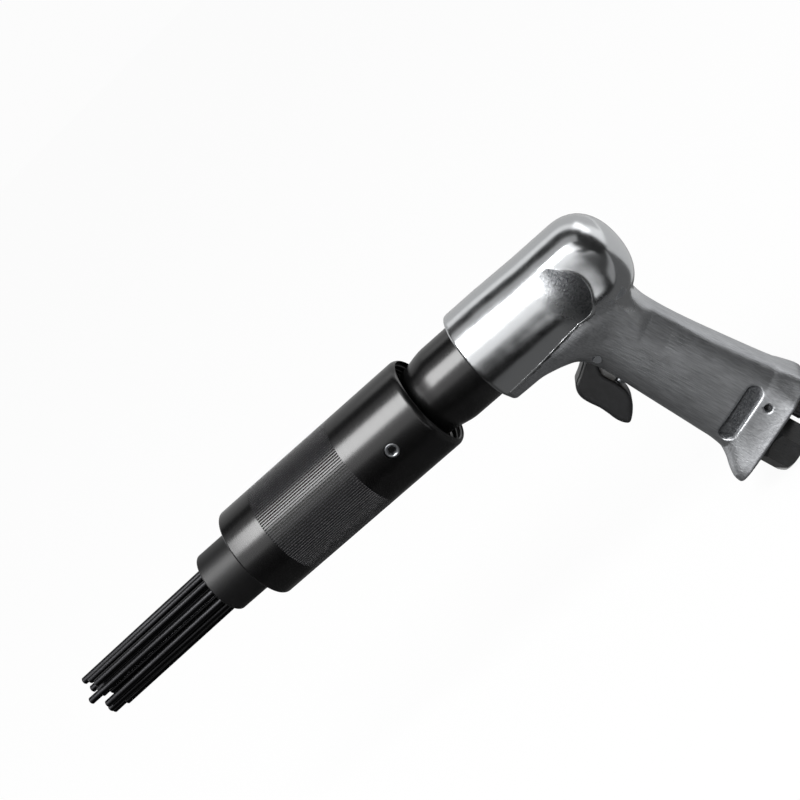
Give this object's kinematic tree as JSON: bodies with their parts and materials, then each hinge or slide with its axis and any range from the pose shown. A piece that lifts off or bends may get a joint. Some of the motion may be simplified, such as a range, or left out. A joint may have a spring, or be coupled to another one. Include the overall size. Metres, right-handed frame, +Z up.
{
  "type": "needle scaler",
  "caption": "Pistol-grip pneumatic needle scaler: cast aluminium handle housing with a trigger, black barrel, knurled sleeve, and a nose tube holding a bundle of loose steel needles.",
  "frame": {"origin": "centre of the knurled sleeve's front face, on the barrel axis", "axes": "+X along the barrel to the domed rear, -X to the needle tips, +Z up away from the grip, +Y to the right of the barrel as seen by the holder"},
  "size_m": [0.2936, 0.04, 0.1306],
  "materials": {
    "cast_aluminium": "polished casting, satin on the grip",
    "black_steel": "black oxide, semi-gloss",
    "black_knurl": "black oxide, semi-gloss, knurled",
    "black_nose": "black oxide, satin",
    "screw_steel": "bright",
    "needle_steel": "dark drawn wire",
    "inner_steel": "ground",
    "spring_steel": "drawn wire",
    "black_rubber": "matt",
    "black_trigger": "black, satin",
    "brass": "turned"
  },
  "bodies": {
    "tool_body": {"handle_housing": "cast_aluminium", "cylinder_barrel": "black_steel", "knurled_sleeve": "black_knurl", "nose_tube": "black_nose", "set_screws": "screw_steel", "buffer_ring": "black_rubber", "barrel_seal": "black_rubber", "valve_block": "inner_steel", "valve_cap": "inner_steel", "valve_dowel": "inner_steel", "trigger_pin": "screw_steel", "throttle_bush": "brass", "inlet_bushing": "black_steel", "inlet_screen": "brass", "regulator_pin": "screw_steel", "return_spring": "spring_steel", "throttle_spring": "spring_steel"},
    "needle_head": {"needle_holder": "inner_steel", "anvil": "inner_steel"},
    "piston": {"piston": "inner_steel"},
    "valve_plate": {"valve_plate": "inner_steel"},
    "trigger": {"trigger": "black_trigger"},
    "throttle": {"throttle_stem": "inner_steel"},
    "regulator": {"regulator_knob": "black_steel", "regulator_seal": "black_rubber"},
    "needle_01": {"needle_01": "needle_steel"},
    "needle_02": {"needle_02": "needle_steel"},
    "needle_03": {"needle_03": "needle_steel"},
    "needle_04": {"needle_04": "needle_steel"},
    "needle_05": {"needle_05": "needle_steel"},
    "needle_06": {"needle_06": "needle_steel"},
    "needle_07": {"needle_07": "needle_steel"},
    "needle_08": {"needle_08": "needle_steel"},
    "needle_09": {"needle_09": "needle_steel"},
    "needle_10": {"needle_10": "needle_steel"},
    "needle_11": {"needle_11": "needle_steel"},
    "needle_12": {"needle_12": "needle_steel"},
    "needle_13": {"needle_13": "needle_steel"},
    "needle_14": {"needle_14": "needle_steel"},
    "needle_15": {"needle_15": "needle_steel"},
    "needle_16": {"needle_16": "needle_steel"},
    "needle_17": {"needle_17": "needle_steel"},
    "needle_18": {"needle_18": "needle_steel"},
    "needle_19": {"needle_19": "needle_steel"}
  },
  "joints": [
    {"name": "trigger_pivot", "type": "hinge", "parent": "tool_body", "child": "trigger", "pos_m": [0.15202, 0, -0.02721], "axis": [0, -1, 0], "range_deg": [0, 9], "stiffness_Nm_per_rad": 0.3, "springref_deg": -5.73},
    {"name": "throttle_slide", "type": "slide", "parent": "tool_body", "child": "throttle", "axis": [0.9573, 0, 0.289], "range_m": [0, 0.00225], "deforming": ["throttle_spring"]},
    {"name": "regulator_turn", "type": "hinge", "parent": "tool_body", "child": "regulator", "pos_m": [0.19139, 0, -0.0898], "axis": [0.289, 0, -0.9573], "range_deg": [0, 180]},
    {"name": "piston_slide", "type": "slide", "parent": "tool_body", "child": "piston", "axis": [1, 0, 0], "range_m": [0, 0.028]},
    {"name": "valve_plate_slide", "type": "slide", "parent": "tool_body", "child": "valve_plate", "axis": [1, 0, 0], "range_m": [0, 0.0008]},
    {"name": "needle_head_slide", "type": "slide", "parent": "tool_body", "child": "needle_head", "axis": [-1, 0, 0], "range_m": [0, 0.004], "stiffness_N_per_m": 5000, "springref_m": -0.004, "deforming": ["return_spring"]},
    {"name": "needle_01_slide", "type": "slide", "parent": "needle_head", "child": "needle_01", "axis": [-0.9998, -0.0005, -0.0185], "range_m": [-0.0065, 0.0035]},
    {"name": "needle_02_slide", "type": "slide", "parent": "needle_head", "child": "needle_02", "axis": [-0.9999, 0.0026, -0.0148], "range_m": [-0.002, 0.008]},
    {"name": "needle_03_slide", "type": "slide", "parent": "needle_head", "child": "needle_03", "axis": [-0.9998, -0.0037, -0.0206], "range_m": [-0.0085, 0.0015]},
    {"name": "needle_04_slide", "type": "slide", "parent": "needle_head", "child": "needle_04", "axis": [-0.9998, -0.0016, -0.019], "range_m": [-0.0045, 0.0055]},
    {"name": "needle_05_slide", "type": "slide", "parent": "needle_head", "child": "needle_05", "axis": [-0.9999, 0.0052, -0.0154], "range_m": [-0.001, 0.009]},
    {"name": "needle_06_slide", "type": "slide", "parent": "needle_head", "child": "needle_06", "axis": [-0.9998, -0.0026, -0.0201], "range_m": [-0.0075, 0.0025]},
    {"name": "needle_07_slide", "type": "slide", "parent": "needle_head", "child": "needle_07", "axis": [-0.9999, 0.0042, -0.0164], "range_m": [-0.0035, 0.0065]},
    {"name": "needle_08_slide", "type": "slide", "parent": "needle_head", "child": "needle_08", "axis": [-0.9998, 0.0016, -0.0216], "range_m": [-0.007, 0.003]},
    {"name": "needle_09_slide", "type": "slide", "parent": "needle_head", "child": "needle_09", "axis": [-0.9999, -0.0052, -0.0143], "range_m": [-0.003, 0.007]},
    {"name": "needle_10_slide", "type": "slide", "parent": "needle_head", "child": "needle_10", "axis": [-0.9998, -0.0021, -0.0195], "range_m": [-0.009, 0.001]},
    {"name": "needle_11_slide", "type": "slide", "parent": "needle_head", "child": "needle_11", "axis": [-0.9997, 0.0031, -0.0227], "range_m": [-0.005, 0.005]},
    {"name": "needle_12_slide", "type": "slide", "parent": "needle_head", "child": "needle_12", "axis": [-0.9999, -0.0042, -0.0159], "range_m": [-0.0015, 0.0085]},
    {"name": "needle_13_slide", "type": "slide", "parent": "needle_head", "child": "needle_13", "axis": [-0.9999, 0.001, -0.0133], "range_m": [-0.008, 0.002]},
    {"name": "needle_14_slide", "type": "slide", "parent": "needle_head", "child": "needle_14", "axis": [-0.9998, -0.0026, -0.0201], "range_m": [-0.004, 0.006]},
    {"name": "needle_15_slide", "type": "slide", "parent": "needle_head", "child": "needle_15", "axis": [-0.9999, 0.0021, -0.0122], "range_m": [-0.006, 0.004]},
    {"name": "needle_16_slide", "type": "slide", "parent": "needle_head", "child": "needle_16", "axis": [-0.9998, -0.0016, -0.019], "range_m": [-0.0005, 0.0095]},
    {"name": "needle_17_slide", "type": "slide", "parent": "needle_head", "child": "needle_17", "axis": [-0.9998, -0.0031, -0.0211], "range_m": [-0.0095, 0.0005]},
    {"name": "needle_18_slide", "type": "slide", "parent": "needle_head", "child": "needle_18", "axis": [-0.9999, 0.0026, -0.0148], "range_m": [-0.0025, 0.0075]},
    {"name": "needle_19_slide", "type": "slide", "parent": "needle_head", "child": "needle_19", "axis": [-0.9998, -0.001, -0.018], "range_m": [-0.0055, 0.0045]}
  ],
  "couplings": [
    {"joint": "throttle_slide", "follows": "trigger_pivot", "m_per_rad": 0.0143}
  ]
}
